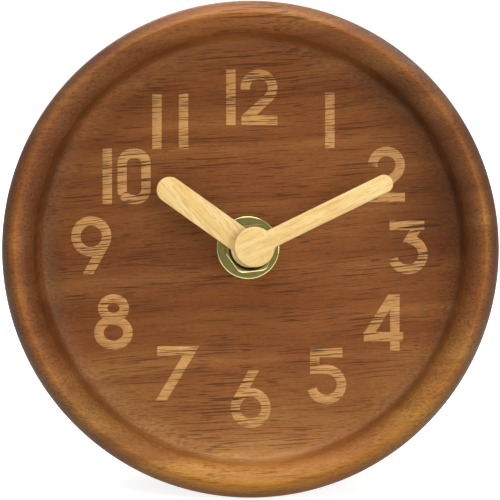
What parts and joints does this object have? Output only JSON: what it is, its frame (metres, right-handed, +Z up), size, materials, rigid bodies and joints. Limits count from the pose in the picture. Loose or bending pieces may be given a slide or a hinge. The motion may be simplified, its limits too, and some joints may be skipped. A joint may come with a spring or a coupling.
{
  "type": "desk clock",
  "caption": "Round desk clock: a turned wooden bowl with a sunken dial, wooden hands on a brass nut, and a quartz movement in the back.",
  "frame": {"origin": "on the desk, under the middle of the clock's box", "axes": "+Z up, -Y out of the dial towards the viewer, +X to the right as the dial is read"},
  "size_m": [0.11, 0.0518, 0.1093],
  "materials": {
    "case_wood": "oiled, satin",
    "hand_wood": "satin",
    "brass": "polished",
    "gasket_rubber": "matte",
    "housing_plastic": "moulded",
    "knob_plastic": "moulded",
    "wheel_plastic": "moulded",
    "steel": "satin",
    "magnet": "sintered",
    "bobbin_plastic": "moulded",
    "copper_wire": "enamelled",
    "board": "lacquered",
    "resin": "glossy",
    "crystal_can": "plated",
    "battery_jacket": "printed jacket"
  },
  "bodies": {
    "clock_case": {"wooden_case": "case_wood", "rubber_gasket": "gasket_rubber", "brass_washer": "brass", "hex_nut": "brass", "movement_front_case": "housing_plastic", "movement_back_cover": "housing_plastic", "stator": "steel", "coil_core": "steel", "coil_bobbin": "bobbin_plastic", "coil_winding": "copper_wire", "circuit_board": "board", "control_chip": "resin", "quartz_crystal": "crystal_can", "negative_contact": "steel", "positive_contact": "steel"},
    "minute_work": {"minute_hand": "hand_wood", "minute_hand_bush": "brass", "minute_arbor": "brass", "clutch_spring": "steel"},
    "hour_work": {"hour_hand": "hand_wood", "hour_hand_bush": "brass", "hour_wheel": "wheel_plastic"},
    "intermediate_work": {"intermediate_wheel": "wheel_plastic"},
    "setting_work": {"setting_pinion": "wheel_plastic", "setting_knob": "knob_plastic"},
    "second_train": {"second_wheel": "wheel_plastic"},
    "rotor_train": {"rotor_shaft": "steel", "rotor_magnet": "magnet"},
    "fifth_train": {"fifth_wheel": "wheel_plastic"},
    "third_train": {"third_wheel": "wheel_plastic"},
    "centre_train": {"centre_wheel": "wheel_plastic"},
    "battery_cell": {"battery": "battery_jacket"}
  },
  "joints": [
    {"name": "minute_spin", "type": "hinge", "parent": "clock_case", "child": "minute_work", "pos_m": [0, -0.00228, 0.05286], "axis": [0, 0.9903, -0.1392], "continuous": true},
    {"name": "hour_spin", "type": "hinge", "parent": "clock_case", "child": "hour_work", "pos_m": [0, -0.00228, 0.05286], "axis": [0, 0.9903, -0.1392], "continuous": true},
    {"name": "intermediate_spin", "type": "hinge", "parent": "clock_case", "child": "intermediate_work", "pos_m": [0, -0.00102, 0.06178], "axis": [0, 0.9903, -0.1392], "continuous": true},
    {"name": "setting_spin", "type": "hinge", "parent": "clock_case", "child": "setting_work", "pos_m": [-0.00636, -0.00014, 0.06808], "axis": [0, 0.9903, -0.1392], "continuous": true},
    {"name": "second_spin", "type": "hinge", "parent": "clock_case", "child": "second_train", "pos_m": [0, -0.00228, 0.05286], "axis": [0, 0.9903, -0.1392], "continuous": true},
    {"name": "rotor_spin", "type": "hinge", "parent": "clock_case", "child": "rotor_train", "pos_m": [0.01252, -0.00088, 0.06278], "axis": [0, 0.9903, -0.1392], "continuous": true},
    {"name": "fifth_spin", "type": "hinge", "parent": "clock_case", "child": "fifth_train", "pos_m": [0.00922, -0.00168, 0.05712], "axis": [0, 0.9903, -0.1392], "continuous": true},
    {"name": "third_spin", "type": "hinge", "parent": "clock_case", "child": "third_train", "pos_m": [-0.00958, -0.00179, 0.05632], "axis": [0, 0.9903, -0.1392], "continuous": true},
    {"name": "centre_spin", "type": "hinge", "parent": "clock_case", "child": "centre_train", "pos_m": [0, -0.00228, 0.05286], "axis": [0, 0.9903, -0.1392], "continuous": true},
    {"name": "battery_slide", "type": "slide", "parent": "clock_case", "child": "battery_cell", "axis": [0, 0.9903, -0.1392], "range_m": [0, 0.022]}
  ],
  "couplings": [
    {"joint": "hour_spin", "follows": "minute_spin", "ratio": 0.083333},
    {"joint": "intermediate_spin", "follows": "minute_spin", "ratio": -0.33333},
    {"joint": "setting_spin", "follows": "minute_spin", "ratio": 1},
    {"joint": "rotor_spin", "follows": "second_spin", "ratio": 30},
    {"joint": "fifth_spin", "follows": "second_spin", "ratio": -6},
    {"joint": "third_spin", "follows": "second_spin", "ratio": -0.125},
    {"joint": "centre_spin", "follows": "second_spin", "ratio": 0.016667}
  ]
}
